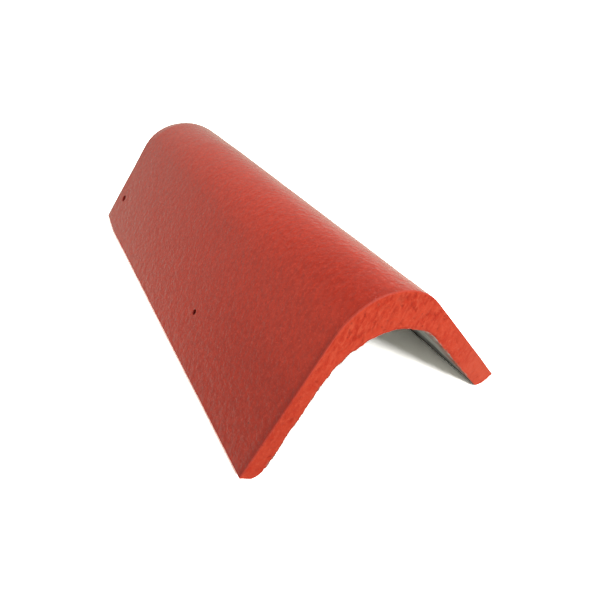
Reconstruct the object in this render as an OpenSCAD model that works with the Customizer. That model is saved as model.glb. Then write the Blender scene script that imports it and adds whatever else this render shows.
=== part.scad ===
// Concrete verge tile: one cast piece of inverted-V section with a rounded, thickened crown.
// It rides over the edge of a pitched roof. One leg is nailed to the verge through a row of
// nail holes, and the other leg laps the roof tiles.
// Frame: +Y runs from tail to head, +Z is up, the origin is on the standing plane at mid-length.

/* [Section] */
// Length of the tile from tail to head
tile_length = 400; // [300:1:500]
// Width over the outer bottom edges of both legs
tile_width = 192; // [180:1:230]
// Slope of both legs above the level, in degrees
leg_slope = 52.5; // [48:0.5:58]
// Outer radius of the crown
crown_r = 44.4; // [36:0.2:50]
// Thickness at the top of the crown
crown_t = 27.6; // [22:0.2:32]
// Thickness of the nailed leg
nailed_leg_t = 13.5; // [11:0.1:16]
// Thickness of the plain leg
plain_leg_t = 15.4; // [11:0.1:16]

/* [Feet] */
// Width of the flat that each leg stands on
foot_flat = 6.5; // [4:0.5:9]
// Height of each leg's outer edge above that flat
edge_rise = 4.6; // [2:0.2:6]

/* [Nail holes] */
// Diameter of a nail hole
nail_hole_d = 4.5; // [3:0.1:8]
// Number of nail holes in the row
nail_hole_count = 2; // [1:1:2]
// Distance of the row from the leg's outer edge, measured up the leg
nail_row = 33; // [25:1:45]
// Distance of the first hole from the head end
nail_setback = 18.5; // [14:0.5:40]
// Distance between the holes along the tile
nail_pitch = 246; // [60:1:250]

/* [Ends] */
// Chamfer on the outer edge of both end faces
arris = 0.6; // [0.4:0.2:3]
// Depth that the top of the crown is dressed down at the head
dressing_depth = 6; // [1:0.2:8]
// Length along the crown over which it is dressed down
dressing_length = 45; // [8:1:60]
// Length of the clipped corner along the foot of the nailed leg, at the head
clip_length = 40; // [10:1:60]
// Height of the clipped corner at the head end, measured up the leg
clip_rise = 3.5; // [2:0.5:12]

/* [Hidden] */

$fn = 96;
// Overrun of every cutting shape past the surface that it cuts
overrun = 5;
// Each circle stands this far out of the legs' lines, so that it meets a leg along an edge
lap = 0.05;

// Unit vectors up the nailed leg and outwards from its face; the plain leg mirrors them
up_leg = [cos(leg_slope), sin(leg_slope)];
off_leg = [-sin(leg_slope), cos(leg_slope)];
function mirrored(p) = [-p[0], p[1]];

// Outer line: the crown's circle runs into both legs
outer_edge = [-tile_width / 2, edge_rise];
crown_rise = (tile_width / 2 * sin(leg_slope) - crown_r + lap) / cos(leg_slope);
crown_centre = [0, edge_rise + crown_rise];
outer_meet = crown_centre + (crown_r - lap) * off_leg;

// Inner line: the hollow's circle runs into the inner faces of both legs
mean_leg_t = (nailed_leg_t + plain_leg_t) / 2;
hollow_r = ((crown_t - crown_r) * cos(leg_slope) + crown_r - mean_leg_t) / (1 - cos(leg_slope));
hollow_shift = (nailed_leg_t - plain_leg_t) / (2 * sin(leg_slope));
hollow_drop = (hollow_r + mean_leg_t - crown_r) / cos(leg_slope);
hollow_centre = crown_centre + [hollow_shift, -hollow_drop];
nailed_meet = hollow_centre + (hollow_r - lap) * off_leg;
plain_meet = hollow_centre + (hollow_r - lap) * mirrored(off_leg);

// Point at a given height on a sloping line
function at_height(p, direction, z) = p + direction * ((z - p[1]) / direction[1]);
nailed_foot = at_height(nailed_meet, up_leg, 0);
plain_foot = at_height(plain_meet, mirrored(up_leg), 0);
nailed_below = at_height(nailed_meet, up_leg, -overrun);
plain_below = at_height(plain_meet, mirrored(up_leg), -overrun);

// The dressed crown ends in a wider circle, which runs into the same two legs
dressed_drop = dressing_depth / (1 - cos(leg_slope));
dressed_r = crown_r - dressing_depth + dressed_drop;
dressed_centre = crown_centre - [0, dressed_drop];

// Stands a flat outline up and runs it along the tile
module along_tile(length) {
    translate([0, length / 2, 0])
        rotate([90, 0, 0])
            linear_extrude(height = length) children();
}

// Outside of the tile, filled in
module outer_body(length) {
    along_tile(length) translate(crown_centre) circle(r = crown_r);
    along_tile(length)
        polygon([
            outer_edge,
            outer_meet,
            mirrored(outer_meet),
            mirrored(outer_edge),
            plain_foot + [foot_flat, 0],
            nailed_foot - [foot_flat, 0]
        ]);
}

// Hollow under the tile, open at the bottom
module hollow(length) {
    along_tile(length) translate(hollow_centre) circle(r = hollow_r);
    along_tile(length) polygon([nailed_below, nailed_meet, plain_meet, plain_below]);
}

// Frame on the nailed leg at the head: X up the leg from its outer edge, Y along the tile, Z off the face
module on_leg_at_head() {
    translate([outer_edge[0], tile_length / 2, outer_edge[1]])
        rotate([0, -leg_slope, 0]) children();
}

// Ring round the crown between both legs, with its profile given as distance from the axis and from the head
module round_crown_at_head(centre) {
    translate([centre[0], tile_length / 2, centre[1]])
        rotate([-90, -90, 0])
            rotate([0, 0, -leg_slope])
                rotate_extrude(angle = 2 * leg_slope) children();
}

module nail_holes() {
    for (i = [0 : nail_hole_count - 1])
        on_leg_at_head()
            translate([nail_row, -nail_setback - i * nail_pitch, 0])
                cylinder(d = nail_hole_d, h = 4 * nailed_leg_t, center = true);
}

// Wedge that takes the corner off the nailed leg's foot
module corner_clip() {
    slant = [clip_rise, clip_length];
    low = [0, -clip_length] - slant * overrun / clip_length;
    high = [clip_rise, 0] + slant * overrun / clip_length;
    on_leg_at_head()
        linear_extrude(height = 4 * nailed_leg_t, center = true)
            polygon([low, high, [-overrun, high[1]], [-overrun, low[1]]]);
}

// Cone that dresses the crown down towards the head
module crown_dressing() {
    fall = dressing_depth / dressing_length;
    reach = dressing_length + overrun;
    round_crown_at_head(dressed_centre)
        polygon([
            [dressed_r - fall * overrun, overrun],
            [dressed_r + fall * reach, -reach],
            [dressed_r + fall * reach, overrun]
        ]);
}

// Corner that an arris takes off, drawn about the sharp edge
module arris_corner() {
    reach = arris + overrun;
    polygon([[-reach, overrun], [overrun, -reach], [overrun, overrun]]);
}

module leg_arris() {
    on_leg_at_head()
        rotate([90, 0, 90])
            translate([0, 0, -overrun])
                linear_extrude(height = norm(outer_meet - outer_edge) + crown_r / 2) arris_corner();
}

// Arris round the outer edge of the head face, whose crown has the given circle
module head_arris(centre, radius) {
    round_crown_at_head(centre) translate([radius, 0]) arris_corner();
    leg_arris();
    mirror([1, 0, 0]) leg_arris();
}

module verge_tile() {
    color([0.70, 0.28, 0.23])
        difference() {
            outer_body(tile_length);
            hollow(tile_length + 2 * overrun);
            nail_holes();
            corner_clip();
            crown_dressing();
            head_arris(dressed_centre, dressed_r);
            mirror([0, 1, 0]) head_arris(crown_centre, crown_r);
        }
}

verge_tile();
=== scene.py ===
import math
import random

import bpy
import numpy as np
from mathutils import Matrix, Vector, noise


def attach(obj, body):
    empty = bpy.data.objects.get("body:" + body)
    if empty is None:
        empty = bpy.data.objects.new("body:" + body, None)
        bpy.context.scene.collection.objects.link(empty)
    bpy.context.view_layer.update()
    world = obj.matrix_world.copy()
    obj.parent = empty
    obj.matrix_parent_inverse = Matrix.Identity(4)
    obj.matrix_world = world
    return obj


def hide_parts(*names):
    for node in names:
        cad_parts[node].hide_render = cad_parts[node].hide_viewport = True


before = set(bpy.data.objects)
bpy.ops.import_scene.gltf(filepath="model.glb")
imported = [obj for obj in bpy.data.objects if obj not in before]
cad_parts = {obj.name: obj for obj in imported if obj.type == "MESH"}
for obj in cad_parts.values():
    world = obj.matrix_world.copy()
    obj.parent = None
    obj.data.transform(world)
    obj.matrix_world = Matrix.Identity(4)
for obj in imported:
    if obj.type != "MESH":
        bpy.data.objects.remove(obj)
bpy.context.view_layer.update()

# verge tile: one piece of cast concrete, red coat on top and ends, bare underneath
# everything is in metres, x across the legs, y from tail to head, z up


def deselectAll():
    if bpy.context.object and bpy.context.object.mode != "OBJECT":
        bpy.ops.object.mode_set(mode="OBJECT")
    bpy.ops.object.select_all(action="DESELECT")


def makeActive(obj):
    deselectAll()
    obj.select_set(True)
    bpy.context.view_layer.objects.active = obj


def selectPart(obj, kind, test):
    # clears the selection, then picks vertices, edges or faces by their place; leaves edit mode on
    makeActive(obj)
    mesh = obj.data
    for items in (mesh.vertices, mesh.edges, mesh.polygons):
        items.foreach_set("select", np.zeros(len(items), dtype=bool))
    bpy.context.tool_settings.mesh_select_mode = [kind == k for k in ("vertices", "edges", "polygons")]
    items = getattr(mesh, kind)
    items.foreach_set("select", np.array([bool(test(i)) for i in items], dtype=bool))
    bpy.ops.object.mode_set(mode="EDIT")


def applyAll(obj):
    makeActive(obj)
    for mod in list(obj.modifiers):
        bpy.ops.object.modifier_apply(modifier=mod.name)


def places(obj):
    co = np.empty(len(obj.data.vertices) * 3)
    obj.data.vertices.foreach_get("co", co)
    return co.reshape(-1, 3)


# the tile

tile = {
    "length": 0.400,
    "width": 0.192,
    "legSlope": math.radians(52.5),
    "crownRadius": 0.0444,
    "crownDepth": 0.0276,       # thickness at the top
    "middleShare": 0.6,         # share of it that lies above the section's middle line
    "nailedLeg": 0.0135,        # thickness of the leg with the holes
    "plainLeg": 0.0154,
    "footFlat": 0.0065,
    "edgeRise": 0.0046,
    "footRound": (0.0062, 0.0028),  # reach of the wear on each foot's inner corner, nailed leg first
    "footGive": 0.0035,             # depth that gives way to that
    "arris": 0.0006,
    "dressing": 0.005,          # the crown is lower by this at the head
    "dressingLength": 0.100,
    "dressingKnee": (0.014, 0.50),  # from here on it falls faster; share of the depth that is reached there
    "dressingPivot": 0.022,         # only what is this far above the crown's centre is dressed
    "dressingNear": 0.003,          # points this near to a cut are lowered with it
    "clip": (0.040, 0.0035),    # corner off the nailed leg: along the foot, up the leg
    "holeRadius": 0.00225,
    "holeSides": 28,
    "drillReach": 1.6,              # length of the drill, in thicknesses of the leg
    "holeRow": 0.033,           # up the leg from its outer edge
    "holesFromHead": (0.0185, 0.2645),
    # of the hole at the head: radius at the face and at the bottom, depth, shift to the tail
    "brokenMouth": (0.0036, 0.0016, 0.0035, 0.0017),
    "brokenSides": 13,
    "legSteps": 60,
    "crownSteps": 50,
    "thickSteps": 6,            # of each half of the thickness
    "thickEdge": 0.0025,        # an edge through the thickness is deeper than this
    # edges along the tile that are longer than this, and the cells that each becomes
    "rows": (0.12, 78),
    "dressingRows": (0.02, 42),
    "endRows": (0.01, 7),
    "tailCut": 0.016,
    "fineEnd": (0.007, 0.0008),     # up to here from the ends, cells longer than this are halved
    "smoothAngle": math.radians(38),
}

hair = 1e-5     # places nearer than this are the same
weld = 1e-6

sinSlope, cosSlope = math.sin(tile["legSlope"]), math.cos(tile["legSlope"])
halfLength = tile["length"] / 2
upLeg = Vector((cosSlope, 0, sinSlope))
offLeg = Vector((-sinSlope, 0, cosSlope))
outerEdge = Vector((-tile["width"] / 2, 0, tile["edgeRise"]))
crownCentre = Vector((0, 0, tile["edgeRise"] + (tile["width"] / 2 * sinSlope - tile["crownRadius"]) / cosSlope))
crownTop = crownCentre.z + tile["crownRadius"]


def flipX(v):
    return Vector((-v.x, v.y, v.z))


def archAt(crownDepth, nailedDepth, plainDepth):
    # centre and radius of the arc that lies this deep under the crown and runs into both legs at these depths
    mean = (nailedDepth + plainDepth) / 2
    radius = (crownDepth - tile["crownRadius"]) * cosSlope + tile["crownRadius"] - mean
    radius /= 1 - cosSlope
    shift = (nailedDepth - plainDepth) / (2 * sinSlope)
    drop = (radius + mean - tile["crownRadius"]) / cosSlope
    return crownCentre + Vector((shift, 0, -drop)), radius


def footPoint(centre, radius, side):
    # where the line of a leg's face meets the floor
    off, up = (offLeg, upLeg) if side < 0 else (flipX(offLeg), flipX(upLeg))
    meet = centre + radius * off
    return meet - up * (meet.z / up.z)


hollowCentre, hollowRadius = archAt(tile["crownDepth"], tile["nailedLeg"], tile["plainLeg"])
nailedFoot = footPoint(hollowCentre, hollowRadius, -1)
plainFoot = footPoint(hollowCentre, hollowRadius, 1)
nailedHeel = nailedFoot - Vector((tile["footFlat"], 0, 0))
plainHeel = plainFoot + Vector((tile["footFlat"], 0, 0))
heelDepths = [(crownCentre + tile["crownRadius"] * off - heel).dot(off)
              for off, heel in ((offLeg, nailedHeel), (flipX(offLeg), plainHeel))]
middleCentre, middleRadius = archAt(tile["crownDepth"] * tile["middleShare"], *heelDepths)


def outerDepth(co):
    # depth of points under the outer face, from an n by 3 array
    x, z = co[:, 0], co[:, 2] - crownCentre.z
    angle = np.arctan2(x, z)
    onLegs = tile["crownRadius"] - (np.abs(x) * sinSlope + z * cosSlope)
    return np.where(np.abs(angle) < tile["legSlope"], tile["crownRadius"] - np.hypot(x, z), onLegs)


def innerHeight(co):
    # distance of points above the hollow's face, 0 on that face
    x, z = co[:, 0] - hollowCentre.x, co[:, 2] - hollowCentre.z
    angle = np.arctan2(x, z)
    onLegs = np.abs(x) * sinSlope + z * cosSlope - hollowRadius
    return np.where(np.abs(angle) < tile["legSlope"], np.hypot(x, z) - hollowRadius, onLegs)


def drawChain(y, start, centre, radius, end):
    # one line of the section: up a leg, over the crown, down the other leg
    lift = Vector((0, y, 0))
    left, right = centre + radius * offLeg, centre + radius * flipX(offLeg)
    # a small plane, merged to the first point
    bpy.ops.mesh.primitive_plane_add(size=0.002, location=start + lift)
    bpy.ops.mesh.merge(type="CENTER")
    bpy.ops.mesh.extrude_region_move(TRANSFORM_OT_translate={"value": left - start})
    bpy.ops.mesh.spin(steps=tile["crownSteps"], angle=2 * tile["legSlope"], center=centre + lift, axis=(0, -1, 0))
    bpy.ops.mesh.extrude_region_move(TRANSFORM_OT_translate={"value": end - right})


def drawSection(obj):
    # three lines, set apart in y so that they can be picked, bridged in pairs and pushed flat
    gap = 0.02
    legEdge = 0.03      # only the legs have edges longer than this
    makeActive(obj)
    bpy.ops.object.mode_set(mode="EDIT")
    bpy.ops.mesh.select_all(action="SELECT")
    bpy.ops.mesh.delete(type="VERT")
    drawChain(-halfLength, outerEdge, crownCentre, tile["crownRadius"], flipX(outerEdge))
    drawChain(-halfLength - gap, nailedHeel, middleCentre, middleRadius, plainHeel)
    drawChain(-halfLength - 2 * gap, nailedFoot, hollowCentre, hollowRadius, plainFoot)
    selectPart(obj, "edges", lambda e: edgeLength(obj, e) > legEdge)
    bpy.ops.mesh.subdivide(number_cuts=tile["legSteps"] - 1)
    for near in (-halfLength, -halfLength - gap):
        selectPart(obj, "edges", lambda e: all(near - gap - hair < obj.data.vertices[v].co.y < near + hair
                                               for v in e.vertices))
        bpy.ops.mesh.bridge_edge_loops(interpolation="LINEAR")
    bpy.ops.mesh.select_all(action="SELECT")
    bpy.ops.transform.resize(value=(1, 0, 1), center_override=(0, -halfLength, 0))


def edgeLength(obj, e):
    a, b = (obj.data.vertices[v].co for v in e.vertices)
    return (a - b).length


def runsAlong(obj, e):
    # much more along the tile than across it
    a, b = (obj.data.vertices[v].co for v in e.vertices)
    return abs(a.y - b.y) > 0.9 * (a - b).length


def roundFeet(obj):
    # inner corner of each foot, worn round along the whole tile
    give = tile["footGive"]
    half = (math.pi - tile["legSlope"]) / 2
    co = places(obj)
    for foot, side, reach in ((nailedFoot, -1, tile["footRound"][0]), (plainFoot, 1, tile["footRound"][1])):
        radius = reach * math.tan(half)
        x, z = (foot.x + side * reach - co[:, 0]) * side, radius - co[:, 2]
        far = np.hypot(x, z)
        angle = np.arctan2(x, z)
        off = np.minimum(angle, tile["legSlope"] - angle)
        edge = radius / np.cos(np.clip(off, 0, 1))
        inside = (off > 0) & (far > radius - give) & (far < edge + hair)
        new = radius - give + (far - radius + give) * give / (edge - radius + give)
        shrink = np.where(inside, new / np.maximum(far, weld), 1)
        co[:, 0] = foot.x + side * reach - side * x * shrink
        co[:, 2] = radius - z * shrink
    obj.data.vertices.foreach_set("co", co.ravel())
    obj.data.update()


def buildTile():
    bpy.ops.mesh.primitive_plane_add(size=0.01, location=(0, 0, 0))
    obj = bpy.context.object
    obj.name = "verge_tile_body"
    drawSection(obj)
    bpy.ops.mesh.extrude_region_move(TRANSFORM_OT_translate={"value": (0, tile["length"], 0)})
    bpy.ops.mesh.select_all(action="SELECT")
    bpy.ops.mesh.remove_doubles(threshold=weld)
    bpy.ops.mesh.normals_make_consistent(inside=False)
    bpy.ops.object.mode_set(mode="OBJECT")
    print("section run out:", len(obj.data.vertices), "vertices")

    # arris round both ends
    co = places(obj)
    onOuter = outerDepth(co) < hair
    atEnd = np.abs(np.abs(co[:, 1]) - halfLength) < hair
    selectPart(obj, "edges", lambda e: all(onOuter[v] and atEnd[v] for v in e.vertices) and not runsAlong(obj, e))
    bpy.ops.mesh.bevel(offset=tile["arris"], offset_type="OFFSET", segments=3, profile=0.5, affect="EDGES")
    bpy.ops.object.mode_set(mode="OBJECT")

    # finer cells through the thickness
    co = places(obj)
    depth = outerDepth(co)
    atEnd = np.abs(np.abs(co[:, 1]) - halfLength) < hair
    selectPart(obj, "edges", lambda e: all(atEnd[v] for v in e.vertices)
               and abs(depth[e.vertices[0]] - depth[e.vertices[1]]) > tile["thickEdge"])
    bpy.ops.mesh.subdivide(number_cuts=tile["thickSteps"] - 1)

    # cuts across: at the knee and the start of the crown's dressing, at the middle and near the tail
    kneeFromHead, kneeShare = tile["dressingKnee"]
    for y in (halfLength - kneeFromHead, halfLength - tile["dressingLength"], 0, -halfLength + tile["tailCut"]):
        bpy.ops.mesh.select_all(action="SELECT")
        bpy.ops.mesh.bisect(plane_co=(0, y, 0), plane_no=(0, 1, 0))
    bpy.ops.object.mode_set(mode="OBJECT")

    # dress the crown down at the head, less and less through the thickness
    co = places(obj)
    depth = outerDepth(co)
    through = depth / np.maximum(depth + innerHeight(co), weld)
    pivot = crownCentre.z + tile["dressingPivot"]
    steps = 2 * tile["thickSteps"]
    for y, share in ((halfLength, 1), (halfLength - kneeFromHead, kneeShare)):
        crownEnd = (np.abs(co[:, 1] - y) < tile["dressingNear"]) & (co[:, 2] > pivot)
        for step in range(steps):
            row = crownEnd & (np.abs(through * steps - step) < 0.5)
            lower = share * tile["dressing"] / (crownTop - pivot) * (1 - step / steps)
            selectPart(obj, "vertices", lambda v: row[v.index])
            bpy.ops.transform.resize(value=(1, 1, 1 - lower), center_override=(0, y, pivot))
    bpy.ops.object.mode_set(mode="OBJECT")

    # rows along the tile, then finer cells at both ends
    for longest, cells in (tile["rows"], tile["dressingRows"], tile["endRows"]):
        selectPart(obj, "edges", lambda e: runsAlong(obj, e) and edgeLength(obj, e) > longest)
        bpy.ops.mesh.subdivide(number_cuts=cells - 1)
    bpy.ops.object.mode_set(mode="OBJECT")
    fineReach, fineEdge = tile["fineEnd"]
    fine = np.abs(places(obj)[:, 1]) > halfLength - fineReach
    selectPart(obj, "edges", lambda e: all(fine[v] for v in e.vertices) and edgeLength(obj, e) > fineEdge)
    bpy.ops.mesh.subdivide(number_cuts=1, ngon=False)

    # corner off the nailed leg at the head
    along, up = tile["clip"]
    slant = (Vector((0, along, 0)) + upLeg * up).normalized()
    cutNormal = slant.cross(offLeg).normalized()
    if cutNormal.dot(upLeg) > 0:
        cutNormal = -cutNormal
    bpy.ops.mesh.select_all(action="SELECT")
    bpy.ops.mesh.bisect(plane_co=outerEdge + Vector((0, halfLength - along, 0)), plane_no=cutNormal,
                        use_fill=True, clear_outer=True)
    bpy.ops.mesh.select_all(action="SELECT")
    bpy.ops.mesh.remove_doubles(threshold=weld)
    bpy.ops.mesh.normals_make_consistent(inside=False)
    bpy.ops.object.mode_set(mode="OBJECT")
    roundFeet(obj)
    print("tile cut to shape:", len(obj.data.polygons), "faces")
    return obj


tileBody = buildTile()

# relief of the cast concrete and its coat

relief = {
    "seed": 11,
    "leastWeight": 0.002,
    # size of the lumps, height, level of the clouds that stays in place, detail
    "wave": (0.060, 0.0006, 0.5, 2),
    "peel": (0.0058, 0.00022, 0.5, 2),
    "endRough": (0.0042, 0.0006, 0.6, 2),
    "under": (0.012, 0.0009, 0.5, 2),
    "nibble": (0.0120, 0.0036, 0.84, 1),
    "crumble": (0.0035, 0.0010, 0.55, 1),
    "pitDepth": 0.0009,
    # what counts as the outer face, the hollow's face and an end face
    "outerSkin": 0.0008,
    "innerSkin": 0.0004,
    "endSkin": 2e-5,
    "markDepth": 0.0016,            # pits and strokes stay this far under the outer face
    # places between which each sets in
    "offFloor": (0.0004, 0.003),
    "underIn": (0.0, 0.004),
    "peelIn": (0.0, 0.003),
    "endDeep": (0.001, 0.003),
    "lipReach": (0.0030, 0),
    "lipOffFloor": (0.0002, 0.0016),
    "brokenLeast": 0.4,             # share of the broken lip on the nailed leg
    "brokenAcross": (-0.020, 0.010),
    "brokenUp": (0.002, 0.022),
}

# marks on the end faces, as ranges

pits = {
    "count": 46,
    "angle": (-0.9, 0.9),           # round the crown
    "crownDepth": (0.002, 0.024),
    "upLeg": (0.004, 0.098),
    "legDepth": (0.002, 0.0125),
    "turn": (0, 3),
    "halfLong": (0.0004, 0.0011),
    "wide": (0.0004, 0.0008),
    "strength": (0.3, 1),
}

# left where the end was struck off
strokes = {
    "count": 18,
    "angle": (0.1, 0.42),           # mean and spread
    "crownDepth": (0.004, 0.023),
    "follow": 0.6,                  # share of the angle that a stroke leans with
    "lean": (0.50, 0.18),           # mean and spread
    "halfLong": (0.0010, 0.0030),
    "wide": (0.0005, 0.0009),
    "strength": (0.3, 0.8),
}


def keepGroup(obj, name, weights):
    group = obj.vertex_groups.new(name=name)
    for i in np.nonzero(weights > relief["leastWeight"])[0]:
        group.add([int(i)], float(weights[i]), "REPLACE")


def displaceBy(obj, name, size, height, middle, detail):
    mod = obj.modifiers.new(name, "DISPLACE")
    mod.vertex_group = name
    mod.strength = height
    mod.mid_level = middle
    mod.direction = "NORMAL"
    if size:
        clouds = bpy.data.textures.new(name, "CLOUDS")
        clouds.noise_scale = size
        clouds.noise_depth = detail
        mod.texture = clouds
        mod.texture_coords = "LOCAL"


def ramp(value, low, high):
    t = np.clip((value - low) / (high - low), 0, 1)
    return t * t * (3 - 2 * t)


def crownSpot(angle, deep):
    return crownCentre + (tile["crownRadius"] - deep) * Vector((math.sin(angle), 0, math.cos(angle)))


def endMarks(co, flat, seed):
    # weights of pits and slanting strokes on one end face; the strokes are in the crown
    dice = random.Random(seed)
    found = np.zeros(len(co))
    marks = []
    for n in range(pits["count"] + strokes["count"]):
        if n >= pits["count"]:
            kind = strokes
            angle = dice.gauss(*strokes["angle"])
            spot = crownSpot(angle, dice.uniform(*strokes["crownDepth"]))
            turn = angle * strokes["follow"] + dice.gauss(*strokes["lean"])
        else:
            kind = pits
            side = dice.choice((-1, 0, 0, 1))
            if side == 0:
                angle = dice.uniform(*pits["angle"])
                spot = crownSpot(angle, dice.uniform(*pits["crownDepth"]))
            else:
                spot = outerEdge + upLeg * dice.uniform(*pits["upLeg"]) - offLeg * dice.uniform(*pits["legDepth"])
                spot = flipX(spot) if side > 0 else spot
            turn = dice.uniform(*pits["turn"])
        marks.append((spot, turn, *(dice.uniform(*kind[size]) for size in ("halfLong", "wide", "strength"))))
    for spot, turn, halfLong, wide, strength in marks:
        dx, dz = co[flat, 0] - spot.x, co[flat, 2] - spot.z
        along = dx * math.sin(turn) + dz * math.cos(turn)
        across = dx * math.cos(turn) - dz * math.sin(turn)
        beyond = np.maximum(np.abs(along) - halfLong, 0)
        found[flat] = np.maximum(found[flat], strength * np.exp(-(across ** 2 + beyond ** 2) / wide ** 2))
    return found


def addRelief(obj):
    co = places(obj)
    depth, height = outerDepth(co), innerHeight(co)
    fromEnd = halfLength - np.abs(co[:, 1])
    offFloor = ramp(co[:, 2], *relief["offFloor"])
    top = (depth < relief["outerSkin"]) * offFloor
    onEnd = fromEnd < relief["endSkin"]
    innerLip = ramp(height, *relief["lipReach"]) * ramp(fromEnd, *relief["lipReach"])
    innerLip *= ramp(co[:, 2], *relief["lipOffFloor"])
    # the lip is broken less on the nailed leg, and not near the feet
    least = relief["brokenLeast"]
    broken = (least + (1 - least) * ramp(co[:, 0], *relief["brokenAcross"])) * ramp(co[:, 2], *relief["brokenUp"])
    marks = np.zeros(len(co))
    for sign in (-1, 1):
        flat = onEnd & (co[:, 1] * sign > 0) & (depth > relief["markDepth"])
        marks = np.maximum(marks, endMarks(co, flat, relief["seed"] + sign))
    weights = {
        "wave": top,
        "peel": top * ramp(fromEnd, *relief["peelIn"]),
        "endRough": onEnd * offFloor * ramp(depth, *relief["endDeep"]),
        "under": (height < relief["innerSkin"]) * offFloor * ramp(fromEnd, *relief["underIn"]),
        "nibble": innerLip * broken,
        "crumble": innerLip,
    }
    for name, values in weights.items():
        keepGroup(obj, name, values)
        displaceBy(obj, name, *relief[name])
    keepGroup(obj, "pits", marks)
    displaceBy(obj, "pits", None, -relief["pitDepth"], 0, 0)
    print("relief laid on:", int((marks > 0.3).sum()), "points in strokes and pits")
    return marks


# how the coat and the painted shade lie; a pair holds the places between which a share sets in

spread = {
    "cloudGap": 2.0,                # between the octaves of the clouds
    # start, scale, roughness, octaves and weight of the clouds
    "sprayCloud": (0.75, 60, 0.6, 4, 0.55),
    "sprayZone": 0.004,             # above the hollow's face
    "sprayReach": 0.020,            # from the end
    "fringeCloud": (0.35, 170, 0.7, 3, 0.8),
    "fringeZone": (0.0032, 0.001),  # above the hollow's face, from the end
    "fringeReach": 0.0018,
    "outerSkin": 0.0009,
    "tailEdgeShade": ((0.0002, 0.0006), (0.0070, 0.0012)),
    "headEdgeShade": (0.0040, 0.0015),
    "headEdgeShadeShare": 1.6,
    "crownEdgeShade": (0.078, 0.096),
    "crownEdgeShadeLoss": 0.75,
    "arrisHighlight": (0.0012, 0.0004),
    "arrisHighlightUp": (0.050, 0.085),
    "arrisHighlightLeast": 0.25,
    "darkenedShare": 0.8,
    "darkenedLegs": ((0.18, 0.02), (0.070, 0.045)),        # from the tail, up
    "darkenedCrown": ((0.16, 0.03), (-0.034, -0.020), (0.010, -0.006)),    # from the tail, across
    "paintedShadeZone": 0.0014,             # above the hollow's face
    "paintedShadeInward": (0.002, 0.030),
    "paintedShadeLow": 0.72,
    "paintedShadeTop": (0.022, 0.013),      # height at the end, and what deep inside adds to it
    "paintedShadeFull": (0.006, 0.011),
    "paintedShadeAll": 0.45,
    "paintedShadeAllInward": (0.015, 0.060),
    "paintedShadeAllAcross": (0.010, -0.020),
    "paintedShadeFoot": (0.0045, 0.0015),
}


def clouded(co, picked, fade, cloud):
    # share at the picked points, which fades out in a ragged line
    start, scale, rough, octaves, weight = cloud
    found = np.zeros(len(co))
    for i in np.nonzero(picked)[0]:
        lump = noise.fractal(Vector(co[i]) * scale, rough, spread["cloudGap"], octaves)
        found[i] = min(max(start - fade[i] + weight * lump, 0), 1)
    return found


def spreadCoat(obj, marks):
    co = places(obj)
    across, up = co[:, 0], co[:, 2]
    depth, height = outerDepth(co), innerHeight(co)
    fromEnd = halfLength - np.abs(co[:, 1])
    fromTail = halfLength + co[:, 1]
    atTail = co[:, 1] < 0
    skin = depth < spread["outerSkin"]
    # overspray on the bare concrete, and the ragged end of the coat at the inner lip
    spray = clouded(co, height < spread["sprayZone"], fromEnd / spread["sprayReach"], spread["sprayCloud"])
    above, inward = spread["fringeZone"]
    lip = (height < above) & (fromEnd < inward)
    fringe = clouded(co, lip, height / spread["fringeReach"], spread["fringeCloud"])
    # painted shade: a dark band just behind the arris at the tail, less on the crown, and on the head's arris,
    # which faces away from the light
    comes, goes = spread["tailEdgeShade"]
    tailEdgeShade = ramp(fromEnd, *comes) * ramp(fromEnd, *goes)
    edgeShade = np.where(atTail, tailEdgeShade, spread["headEdgeShadeShare"] * ramp(fromEnd, *spread["headEdgeShade"]))
    edgeShade *= skin * (1 - spread["crownEdgeShadeLoss"] * atTail * ramp(up, *spread["crownEdgeShade"]))
    # painted highlight along the tail's arris, most on the crown
    least = spread["arrisHighlightLeast"]
    arrisHighlight = skin * atTail * ramp(fromEnd, *spread["arrisHighlight"]) * (least + (1 - least) * ramp(up, *spread["arrisHighlightUp"]))
    # darker towards the tail, low on the legs and on the left of the crown
    nearTail, low = spread["darkenedLegs"]
    darkened = spread["darkenedShare"] * ramp(fromTail, *nearTail) * ramp(up, *low)
    nearTail, left, right = spread["darkenedCrown"]
    darkened += spread["darkenedShare"] * ramp(fromTail, *nearTail) * ramp(across, *left) * ramp(across, *right)
    # painted shade: the lower half inside is darkened, most at the foot; less high near the ends; deep inside all
    # of it a little
    deep = ramp(fromEnd, *spread["paintedShadeInward"])
    top, full = (base + more * deep for base, more in (spread["paintedShadeTop"], spread["paintedShadeFull"]))
    paintedShade = spread["paintedShadeLow"] * ramp(up, top, full)
    allOver = np.maximum(ramp(fromEnd, *spread["paintedShadeAllInward"]), ramp(across, *spread["paintedShadeAllAcross"]))
    paintedShade = np.maximum(paintedShade, spread["paintedShadeAll"] * allOver)
    paintedShade = (height < spread["paintedShadeZone"]) * np.maximum(paintedShade, ramp(up, *spread["paintedShadeFoot"]))
    for name, values in (("spray", spray), ("strokes", marks), ("fringe", fringe), ("edgeShade", edgeShade), ("arrisHighlight", arrisHighlight),
                         ("darkened", darkened), ("paintedShade", paintedShade)):
        layer = obj.data.attributes.new(name, "FLOAT", "POINT")
        layer.data.foreach_set("value", values)
    print("coat and damp spread")


# where each finish lies, by the way a face points and its height above the hollow's face

finishAt = {
    "endFace": 0.999,
    "innerSkin": 0.0004,
    "wornSkin": 0.002,
    "wornDown": -0.3,
    "wornAlong": 0.9,
    "footFace": -0.97,
}


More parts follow.
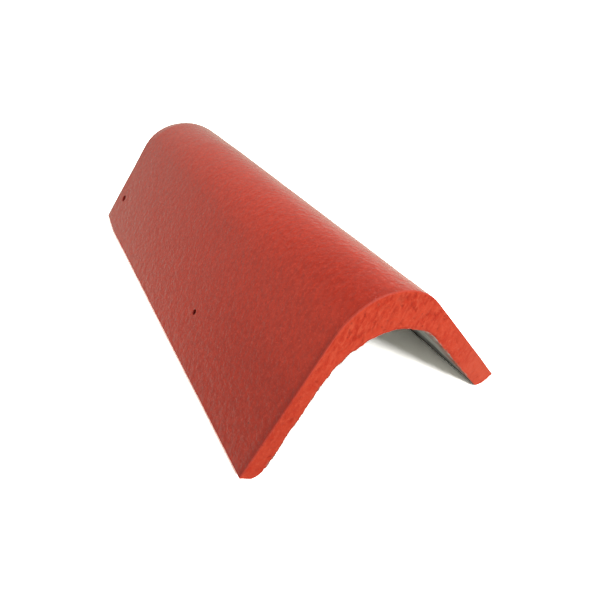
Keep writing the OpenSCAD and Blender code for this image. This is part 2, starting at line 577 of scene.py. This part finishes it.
def assignFinishes(obj, finishes):
    for mat in finishes:
        obj.data.materials.append(mat)
    count = len(obj.data.polygons)
    centre, normal = np.empty(count * 3), np.empty(count * 3)
    obj.data.polygons.foreach_get("center", centre)
    obj.data.polygons.foreach_get("normal", normal)
    centre, normal = centre.reshape(-1, 3), normal.reshape(-1, 3)
    index = np.zeros(count, dtype=np.int32)
    along, up = np.abs(normal[:, 1]), normal[:, 2]
    height = innerHeight(centre)
    worn = (height < finishAt["wornSkin"]) & (up < finishAt["wornDown"]) & (along < finishAt["wornAlong"])
    index[along > finishAt["endFace"]] = 1
    index[(height < finishAt["innerSkin"]) | worn | (up < finishAt["footFace"])] = 2
    obj.data.polygons.foreach_set("material_index", index)


def cutAway(obj, drill, wall):
    drill.data.materials.append(wall)
    mod = obj.modifiers.new("drill", "BOOLEAN")
    mod.operation = "DIFFERENCE"
    mod.solver = "EXACT"
    mod.material_mode = "TRANSFER"
    mod.object = drill
    makeActive(obj)
    bpy.ops.object.modifier_apply(modifier=mod.name)
    makeActive(drill)
    bpy.ops.object.delete()


def drillHoles(obj, wall):
    turn = offLeg.to_track_quat("Z", "Y").to_euler()
    row = outerEdge + upLeg * tile["holeRow"] + Vector((0, halfLength, 0))
    for fromHead in tile["holesFromHead"]:
        middle = row - Vector((0, fromHead, 0)) - offLeg * tile["nailedLeg"] / 2
        deselectAll()
        bpy.ops.mesh.primitive_cylinder_add(vertices=tile["holeSides"], radius=tile["holeRadius"],
                                            depth=tile["nailedLeg"] * tile["drillReach"],
                                            location=middle, rotation=turn)
        cutAway(obj, bpy.context.object, wall)
    # the mouth of the hole at the head is broken out, more towards the tail
    wide, narrow, deep, shift = tile["brokenMouth"]
    deselectAll()
    mouth = row - Vector((0, tile["holesFromHead"][0] + shift, 0))
    bpy.ops.mesh.primitive_cone_add(vertices=tile["brokenSides"], radius1=narrow, radius2=2 * wide - narrow,
                                    depth=2 * deep, location=mouth, rotation=turn)
    cutAway(obj, bpy.context.object, wall)
    print("nail holes drilled")


# finishes

coat = {
    "topPlain": (0.460, 0.0343, 0.0165, 1),
    "topDeep": (0.388, 0.0267, 0.0130, 1),
    "topPale": (0.543, 0.0486, 0.0258, 1),
    "endPlain": (0.540, 0.0510, 0.0205, 1),
    "endDeep": (0.486, 0.0370, 0.0145, 1),
    "endPale": (0.585, 0.0780, 0.0370, 1),
    # painted shade in the end face's strokes
    "endStrokeShade": (0.408, 0.0235, 0.0090, 1),
    "darkened": (0.82, 0.76, 0.76, 1),         # tint
    "endThick": (0.86, 0.84, 0.85, 1),      # tint
    "endThin": (0.515, 0.0790, 0.0420, 1),
    # painted shade behind the arrises
    "edgeShade": (0.216, 0.0115, 0.0065, 1),
    # painted highlight on the tail's arris
    "arrisHighlight": (0.620, 0.0850, 0.0450, 1),
    # painted shade in pits and blow holes
    "pitShade": (0.180, 0.0120, 0.0080, 1),
    # painted shade on the nail holes' walls
    "hole": (0.150, 0.0090, 0.0060, 1),
    "bare": (0.440, 0.442, 0.410, 1),
    "bareDark": (0.300, 0.303, 0.272, 1),
    "bareLight": (0.520, 0.520, 0.480, 1),
    # painted shade inside the hollow
    "paintedShade": (0.020, 0.022, 0.018, 1),
    "spray": (0.300, 0.110, 0.070, 1),
}


def newGroup(name, ins, outs):
    group = bpy.data.node_groups.new(name, "ShaderNodeTree")
    for label, kind, value in ins:
        socket = group.interface.new_socket(name=label, in_out="INPUT", socket_type=kind)
        socket.default_value = value
    for label, kind in outs:
        group.interface.new_socket(name=label, in_out="OUTPUT", socket_type=kind)
    return group, group.nodes.new("NodeGroupInput"), group.nodes.new("NodeGroupOutput")


def mathNode(tree, operation, a, b=None):
    node = tree.nodes.new("ShaderNodeMath")
    node.operation = operation
    for slot, value in enumerate((a, b)):
        if value is None:
            continue
        if isinstance(value, (int, float)):
            node.inputs[slot].default_value = value
        else:
            tree.links.new(value, node.inputs[slot])
    return node.outputs[0]


def scaled(tree, value, share):
    return mathNode(tree, "MULTIPLY", value, share)


def mixColor(tree, factor, a, b, blend="MIX"):
    node = tree.nodes.new("ShaderNodeMix")
    node.data_type = "RGBA"
    node.blend_type = blend
    for socket, value in ((node.inputs[0], factor), (node.inputs[6], a), (node.inputs[7], b)):
        if hasattr(value, "is_output"):
            tree.links.new(value, socket)
        else:
            socket.default_value = value
    return node.outputs[2]


def noiseNode(tree, vector, scale, detail=2.0, rough=0.5):
    node = tree.nodes.new("ShaderNodeTexNoise")
    tree.links.new(vector, node.inputs["Vector"])
    if isinstance(scale, (int, float)):
        node.inputs["Scale"].default_value = scale
    else:
        tree.links.new(scale, node.inputs["Scale"])
    node.inputs["Detail"].default_value = detail
    node.inputs["Roughness"].default_value = rough
    return node.outputs["Fac"]


def stretch(tree, value, low, high):
    node = tree.nodes.new("ShaderNodeMapRange")
    node.interpolation_type = "SMOOTHSTEP"
    tree.links.new(value, node.inputs["Value"])
    node.inputs["From Min"].default_value = low
    node.inputs["From Max"].default_value = high
    return node.outputs["Result"]


def objectPlace(tree):
    return tree.nodes.new("ShaderNodeTexCoord").outputs["Object"]


pattern = {
    "patchCut": (0.36, 0.66),
    "speckCut": (0.50, 0.74),
    "streakStretch": (1, 0.08, 1),      # drawn out along the tile
    "streakScale": 240.0,
}


def makeMottle():
    # three tones of one coat, broad patches and small specks
    group, given, put = newGroup("coatMottle", (("Plain", "NodeSocketColor", (0.5, 0.05, 0.04, 1)),
                                                ("Deep", "NodeSocketColor", (0.4, 0.03, 0.02, 1)),
                                                ("Pale", "NodeSocketColor", (0.6, 0.08, 0.06, 1)),
                                                ("Patches", "NodeSocketFloat", 28.0),
                                                ("Specks", "NodeSocketFloat", 260.0)),
                                 (("Color", "NodeSocketColor"), ("Patch", "NodeSocketFloat")))
    at = objectPlace(group)
    patch = stretch(group, noiseNode(group, at, given.outputs["Patches"], 4, 0.6), *pattern["patchCut"])
    speck = stretch(group, noiseNode(group, at, given.outputs["Specks"], 3, 0.65), *pattern["speckCut"])
    broad = mixColor(group, patch, given.outputs["Plain"], given.outputs["Deep"])
    both = mixColor(group, speck, broad, given.outputs["Pale"])
    group.links.new(both, put.inputs["Color"])
    group.links.new(patch, put.inputs["Patch"])
    return group


def makeGrain():
    # lumps, fine grain and streaks along the tile, as one height
    group, given, put = newGroup("castGrain", (("Lumps", "NodeSocketFloat", 220.0),
                                               ("Grain", "NodeSocketFloat", 900.0),
                                               ("Grain Share", "NodeSocketFloat", 0.3),
                                               ("Streak Share", "NodeSocketFloat", 0.2)),
                                 (("Height", "NodeSocketFloat"),))
    at = objectPlace(group)
    lump = noiseNode(group, at, given.outputs["Lumps"])
    fine = noiseNode(group, at, given.outputs["Grain"])
    drawn = group.nodes.new("ShaderNodeMapping")
    drawn.inputs["Scale"].default_value = pattern["streakStretch"]
    group.links.new(at, drawn.inputs["Vector"])
    streak = noiseNode(group, drawn.outputs["Vector"], pattern["streakScale"])
    total = mathNode(group, "ADD", lump, scaled(group, fine, given.outputs["Grain Share"]))
    total = mathNode(group, "ADD", total, scaled(group, streak, given.outputs["Streak Share"]))
    group.links.new(total, put.inputs["Height"])
    return group


def makePinholes():
    # small blow holes, 1 inside
    group, given, put = newGroup("blowHoles", (("Spacing", "NodeSocketFloat", 90.0),
                                               ("Size", "NodeSocketFloat", 0.10)),
                                 (("Mask", "NodeSocketFloat"),))
    at = objectPlace(group)
    cells = group.nodes.new("ShaderNodeTexVoronoi")
    group.links.new(at, cells.inputs["Vector"])
    group.links.new(given.outputs["Spacing"], cells.inputs["Scale"])
    apart = group.nodes.new("ShaderNodeSeparateColor")
    group.links.new(cells.outputs["Color"], apart.inputs["Color"])
    size = scaled(group, given.outputs["Size"], apart.outputs["Red"])
    group.links.new(mathNode(group, "LESS_THAN", cells.outputs["Distance"], size), put.inputs["Mask"])
    return group


mottle, grain, blowHoles = makeMottle(), makeGrain(), makePinholes()


def placeGroup(tree, group, **values):
    node = tree.nodes.new("ShaderNodeGroup")
    node.node_tree = group
    for label, value in values.items():
        node.inputs[label.replace("_", " ")].default_value = value
    return node


def newFinish(name, rough, specular):
    mat = bpy.data.materials.new(name)
    mat.use_nodes = True
    shader = mat.node_tree.nodes["Principled BSDF"]
    shader.inputs["Roughness"].default_value = rough
    shader.inputs["Specular IOR Level"].default_value = specular
    return mat, mat.node_tree, shader


def reliefInto(tree, shader, height, distance):
    bump = tree.nodes.new("ShaderNodeBump")
    bump.inputs["Distance"].default_value = distance
    bump.inputs["Strength"].default_value = 1.0
    tree.links.new(height, bump.inputs["Height"])
    tree.links.new(bump.outputs["Normal"], shader.inputs["Normal"])


def attributeValue(tree, name):
    node = tree.nodes.new("ShaderNodeAttribute")
    node.attribute_name = name
    return node.outputs["Fac"]


def glossInto(tree, shader, patch, gloss, extra=None):
    # roughness: what it is at least, and what the patches add
    least, more = gloss
    rough = mathNode(tree, "ADD", scaled(tree, patch, more), least)
    if extra is not None:
        rough = mathNode(tree, "ADD", rough, extra)
    tree.links.new(rough, shader.inputs["Roughness"])


topCoat = {
    "rough": 0.15,
    "specular": 0.35,
    "tone": {"Patches": 300.0, "Specks": 500.0},
    "holes": {"Spacing": 75.0, "Size": 0.055},
    "grain": {"Lumps": 200.0, "Grain": 440.0, "Grain_Share": 0.5, "Streak_Share": 0.10},
    "pinholeShadeShare": 0.55,
    "edgeShadeShare": 0.5,
    "arrisHighlightShare": 0.25,
    "arrisHighlightDull": 0.5,
    "gloss": (0.14, 0.04),
    "bump": 0.00052,
}


def makeTopCoat():
    mat, tree, shader = newFinish("redTopCoat", topCoat["rough"], topCoat["specular"])
    tone = placeGroup(tree, mottle, Plain=coat["topPlain"], Deep=coat["topDeep"], Pale=coat["topPale"],
                      **topCoat["tone"])
    holes = placeGroup(tree, blowHoles, **topCoat["holes"])
    body = placeGroup(tree, grain, **topCoat["grain"])
    arrisHighlight = attributeValue(tree, "arrisHighlight")
    # darker towards the tail, low on the legs and on the left of the crown
    color = mixColor(tree, attributeValue(tree, "darkened"), tone.outputs["Color"], coat["darkened"], "MULTIPLY")
    # painted shade in the blow holes
    color = mixColor(tree, scaled(tree, holes.outputs["Mask"], topCoat["pinholeShadeShare"]), color, coat["pitShade"])
    # painted shade behind the arrises
    color = mixColor(tree, scaled(tree, attributeValue(tree, "edgeShade"), topCoat["edgeShadeShare"]), color, coat["edgeShade"])
    # painted highlight on the tail's arris, which is also made rougher
    color = mixColor(tree, scaled(tree, arrisHighlight, topCoat["arrisHighlightShare"]), color, coat["arrisHighlight"])
    tree.links.new(color, shader.inputs["Base Color"])
    glossInto(tree, shader, tone.outputs["Patch"], topCoat["gloss"], scaled(tree, arrisHighlight, topCoat["arrisHighlightDull"]))
    height = mathNode(tree, "SUBTRACT", body.outputs["Height"], holes.outputs["Mask"])
    reliefInto(tree, shader, height, topCoat["bump"])
    return mat


endCoat = {
    "rough": 0.75,
    "specular": 0.15,
    "tone": {"Patches": 70.0, "Specks": 420.0},
    "holes": {"Spacing": 240.0, "Size": 0.20},
    "grain": {"Lumps": 320.0, "Grain": 1100.0, "Grain_Share": 0.6, "Streak_Share": 0.0},
    "strokeTurn": (0, math.radians(26), 0),
    "strokeStretch": (1, 1, 2.6),
    "strokeScale": 400.0,
    "strokeCut": (0.46, 0.68),
    "ridgeHighlightCut": (0.50, 0.34),
    "placeScale": 70.0,             # of the places with more strokes
    "placeCut": (0.30, 0.60),
    "fadeUp": (0.050, 0.080),       # strokes and pits fade down the legs
    "fadeLeast": 0.4,
    "thickAcross": (-0.025, -0.080),
    "thinAcross": (0.040, 0.088),
    "thinShare": 0.65,
    "strokeShadeShare": 0.75,
    "ridgeHighlightShare": 0.75,
    "pitShadeShare": 0.35,
    "strokeDepth": 0.8,
    "gloss": (0.70, 0.1),
    "bump": 0.00040,
}


def makeEndCoat():
    mat, tree, shader = newFinish("redEndCoat", endCoat["rough"], endCoat["specular"])
    tone = placeGroup(tree, mottle, Plain=coat["endPlain"], Deep=coat["endDeep"], Pale=coat["endPale"],
                      **endCoat["tone"])
    holes = placeGroup(tree, blowHoles, **endCoat["holes"])
    body = placeGroup(tree, grain, **endCoat["grain"])
    # fine slanting strokes, thicker in some places than in others
    slant = tree.nodes.new("ShaderNodeMapping")
    slant.vector_type = "TEXTURE"
    slant.inputs["Rotation"].default_value = endCoat["strokeTurn"]
    slant.inputs["Scale"].default_value = endCoat["strokeStretch"]
    at = objectPlace(tree)
    tree.links.new(at, slant.inputs["Vector"])
    comb = noiseNode(tree, slant.outputs["Vector"], endCoat["strokeScale"])
    way = tree.nodes.new("ShaderNodeSeparateXYZ")
    tree.links.new(at, way.inputs[0])
    across = way.outputs["X"]
    least = endCoat["fadeLeast"]
    high = scaled(tree, stretch(tree, way.outputs["Z"], *endCoat["fadeUp"]), 1 - least)
    high = mathNode(tree, "ADD", high, least)
    some = stretch(tree, noiseNode(tree, at, endCoat["placeScale"]), *endCoat["placeCut"])
    some = scaled(tree, some, high)
    combed = scaled(tree, stretch(tree, comb, *endCoat["strokeCut"]), some)
    ridgeHighlight = scaled(tree, stretch(tree, comb, *endCoat["ridgeHighlightCut"]), some)
    # the coat is thick on the nailed leg's end and thin on the other foot's
    darkened = stretch(tree, across, *endCoat["thickAcross"])
    thin = scaled(tree, stretch(tree, across, *endCoat["thinAcross"]), endCoat["thinShare"])
    color = mixColor(tree, darkened, tone.outputs["Color"], coat["endThick"], "MULTIPLY")
    color = mixColor(tree, thin, color, coat["endThin"])
    # painted shade in the strokes' grooves, and a painted highlight on the ridges between them
    color = mixColor(tree, scaled(tree, combed, endCoat["strokeShadeShare"]), color, coat["endStrokeShade"])
    color = mixColor(tree, scaled(tree, ridgeHighlight, endCoat["ridgeHighlightShare"]), color, coat["endPale"])
    # painted shade in the pits, strokes and blow holes
    dark = mathNode(tree, "MAXIMUM", scaled(tree, holes.outputs["Mask"], endCoat["pitShadeShare"]),
                    scaled(tree, attributeValue(tree, "strokes"), endCoat["pitShadeShare"]))
    color = mixColor(tree, scaled(tree, dark, high), color, coat["pitShade"])
    color = mixColor(tree, attributeValue(tree, "fringe"), color, coat["bareDark"])
    tree.links.new(color, shader.inputs["Base Color"])
    glossInto(tree, shader, tone.outputs["Patch"], endCoat["gloss"])
    height = mathNode(tree, "SUBTRACT", body.outputs["Height"], holes.outputs["Mask"])
    height = mathNode(tree, "SUBTRACT", height, scaled(tree, combed, endCoat["strokeDepth"]))
    reliefInto(tree, shader, height, endCoat["bump"])
    return mat


bareSide = {
    "rough": 0.9,
    "specular": 0.2,
    "tone": {"Patches": 45.0, "Specks": 500.0},
    "holes": {"Spacing": 170.0, "Size": 0.28},
    "grain": {"Lumps": 260.0, "Grain": 1000.0, "Grain_Share": 0.8, "Streak_Share": 0.5},
    "pinholeShadeShare": 0.5,
    "paintedShadeShare": 0.9,
    "gloss": (0.86, 0.08),
    "bump": 0.00045,
}


def makeBareConcrete():
    mat, tree, shader = newFinish("bareUnderside", bareSide["rough"], bareSide["specular"])
    tone = placeGroup(tree, mottle, Plain=coat["bare"], Deep=coat["bareDark"], Pale=coat["bareLight"],
                      **bareSide["tone"])
    holes = placeGroup(tree, blowHoles, **bareSide["holes"])
    body = placeGroup(tree, grain, **bareSide["grain"])
    color = mixColor(tree, attributeValue(tree, "spray"), tone.outputs["Color"], coat["spray"])
    # painted shade in the blow holes
    color = mixColor(tree, scaled(tree, holes.outputs["Mask"], bareSide["pinholeShadeShare"]), color, coat["bareDark"])
    # painted shade inside the hollow, darkest at the foot
    color = mixColor(tree, scaled(tree, attributeValue(tree, "paintedShade"), bareSide["paintedShadeShare"]), color, coat["paintedShade"])
    tree.links.new(color, shader.inputs["Base Color"])
    glossInto(tree, shader, tone.outputs["Patch"], bareSide["gloss"])
    height = mathNode(tree, "SUBTRACT", body.outputs["Height"], holes.outputs["Mask"])
    reliefInto(tree, shader, height, bareSide["bump"])
    return mat


holeWall = {
    "rough": 0.95,
    "specular": 0.1,
    "tone": {"Patches": 200.0, "Specks": 900.0},
    "grain": {"Lumps": 500.0, "Grain": 1500.0},
    "bump": 0.0003,
}


def makeHoleWall():
    # the walls are coloured dark: painted shade inside the nail holes
    mat, tree, shader = newFinish("nailHoleShadedWall", holeWall["rough"], holeWall["specular"])
    tone = placeGroup(tree, mottle, Plain=coat["hole"], Deep=coat["hole"], Pale=coat["pitShade"], **holeWall["tone"])
    body = placeGroup(tree, grain, **holeWall["grain"])
    tree.links.new(tone.outputs["Color"], shader.inputs["Base Color"])
    reliefInto(tree, shader, body.outputs["Height"], holeWall["bump"])
    return mat


assignFinishes(tileBody, (makeTopCoat(), makeEndCoat(), makeBareConcrete()))
spreadCoat(tileBody, addRelief(tileBody))
applyAll(tileBody)
drillHoles(tileBody, makeHoleWall())
selectPart(tileBody, "polygons", lambda f: len(f.vertices) > 4)
bpy.ops.mesh.quads_convert_to_tris()
makeActive(tileBody)
bpy.ops.object.shade_smooth_by_angle(angle=tile["smoothAngle"])
tileBody.vertex_groups.clear()

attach(tileBody, "root")
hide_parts("verge_tile")

# floor, light and camera

stage = {
    "floorSize": 8.0,
    "floorGap": 0.0002,         # under the feet
    "floorColor": (0.90, 0.90, 0.89, 1),
    "floorSeen": (2.85, 2.82, 2.755, 1),     # the camera's view of it only, so that it comes out white
    "floorMirrored": (0.85, 0.84, 0.76, 1),
    "skyLight": 0.50,
    "roomColor": (1.0, 0.985, 0.875, 1),
    "skySeen": 1.0,
    "skyColor": (1, 1, 1, 1),
    "roomSeen": 0.56,
    "ceilingSeen": 0.65,        # share of that high up
    # by direction: where the sheet that reflections see begins and ends, and the ceiling
    "sheetAcross": (0.35, 0.75),
    "sheetUp": (0.05, 0.35),
    "ceilingUp": (0.55, 0.75),
    "keyFrom": (0.0, -0.857, 0.515),
    "keyLevel": 0.60,           # of a white face square to the light
    "keySpread": math.radians(9),
    "boxAt": (0.16, -0.16, 0.54),
    "boxAim": (0, -0.05, 0.08),
    "boxSize": 0.5,
    "boxPower": 0.58,
    "eye": (-0.154276, -0.394809, 0.259479),
    "yaw": math.radians(-26.8199),
    "pitch": math.radians(33.5697),
    "roll": math.radians(-0.7145),
    "lens": 32.2792,
    "sensor": 36,
    "clipStart": 0.01,
}


def seenMask(tree):
    # 1 for camera, glossy and transmission rays
    path = tree.nodes.new("ShaderNodeLightPath")
    seen = mathNode(tree, "MAXIMUM", path.outputs["Is Camera Ray"], path.outputs["Is Glossy Ray"])
    return mathNode(tree, "MAXIMUM", seen, path.outputs["Is Transmission Ray"])


def buildFloor():
    deselectAll()
    bpy.ops.mesh.primitive_plane_add(size=stage["floorSize"], location=(0, 0, -stage["floorGap"]))
    floor = bpy.context.object
    floor.name = "floor"
    bpy.ops.object.transform_apply(location=True, rotation=True, scale=True)
    mat = bpy.data.materials.new("paleFloor")
    mat.use_nodes = True
    tree = mat.node_tree
    tree.nodes.clear()
    out = tree.nodes.new("ShaderNodeOutputMaterial")
    path = tree.nodes.new("ShaderNodeLightPath")
    diffuse = tree.nodes.new("ShaderNodeBsdfDiffuse")
    color = mixColor(tree, path.outputs["Is Glossy Ray"], stage["floorColor"], stage["floorMirrored"])
    color = mixColor(tree, path.outputs["Is Camera Ray"], color, stage["floorSeen"])
    tree.links.new(color, diffuse.inputs["Color"])
    tree.links.new(diffuse.outputs[0], out.inputs["Surface"])
    floor.data.materials.append(mat)


def buildWorld():
    world = bpy.data.worlds.new("studio")
    bpy.context.scene.world = world
    world.use_nodes = True
    tree = world.node_tree
    nodes, links = tree.nodes, tree.links
    background = nodes["Background"]
    # reflections see the white sheet low on the right, and a dimmer room around and above
    way = nodes.new("ShaderNodeSeparateXYZ")
    links.new(nodes.new("ShaderNodeTexCoord").outputs["Generated"], way.inputs[0])
    up = way.outputs["Z"]
    low = mathNode(tree, "SUBTRACT", 1.0, stretch(tree, up, *stage["sheetUp"]))
    sheet = scaled(tree, stretch(tree, way.outputs["X"], *stage["sheetAcross"]), low)
    dimmed = scaled(tree, stretch(tree, up, *stage["ceilingUp"]), 1 - stage["ceilingSeen"])
    room = scaled(tree, mathNode(tree, "SUBTRACT", 1.0, dimmed), stage["roomSeen"])
    byCamera = nodes.new("ShaderNodeLightPath").outputs["Is Camera Ray"]
    links.new(mixColor(tree, byCamera, stage["roomColor"], stage["skyColor"]), background.inputs["Color"])
    sheet = mathNode(tree, "MAXIMUM", sheet, byCamera)
    brighter = scaled(tree, sheet, mathNode(tree, "SUBTRACT", stage["skySeen"], room))
    level = nodes.new("ShaderNodeMix")
    level.inputs[2].default_value = stage["skyLight"]
    links.new(seenMask(tree), level.inputs[0])
    links.new(mathNode(tree, "ADD", room, brighter), level.inputs[3])
    links.new(level.outputs[0], background.inputs["Strength"])


def buildLights():
    toward = Vector(stage["keyFrom"])
    bpy.ops.object.light_add(type="SUN", location=toward * 2)
    key = bpy.context.object
    key.name = "keyLight"
    key.data.energy = stage["keyLevel"] * math.pi
    key.data.angle = stage["keySpread"]
    key.rotation_euler = (-toward).to_track_quat("-Z", "Y").to_euler()

    bpy.ops.object.light_add(type="AREA", location=stage["boxAt"])
    box = bpy.context.object
    box.name = "softBox"
    box.data.shape = "SQUARE"
    box.data.size = stage["boxSize"]
    box.data.energy = stage["boxPower"] * math.pi
    box.rotation_euler = (Vector(stage["boxAim"]) - box.location).to_track_quat("-Z", "Y").to_euler()


def buildCamera():
    yaw, pitch, roll = stage["yaw"], stage["pitch"], stage["roll"]
    ahead = Vector((-math.sin(yaw) * math.cos(pitch), math.cos(yaw) * math.cos(pitch), -math.sin(pitch)))
    right = Vector((math.cos(yaw), math.sin(yaw), 0))
    up = right.cross(ahead)
    right, up = (math.cos(roll) * right + math.sin(roll) * up, -math.sin(roll) * right + math.cos(roll) * up)
    bpy.ops.object.camera_add(location=stage["eye"])
    camera = bpy.context.object
    camera.rotation_euler = Matrix((right, up, -ahead)).transposed().to_euler()
    camera.data.sensor_width = stage["sensor"]
    camera.data.lens = stage["lens"]
    camera.data.clip_start = stage["clipStart"]
    bpy.context.scene.camera = camera


buildFloor()
buildWorld()
buildLights()
buildCamera()
bpy.context.scene.view_settings.view_transform = "Standard"
print("stage and camera set")
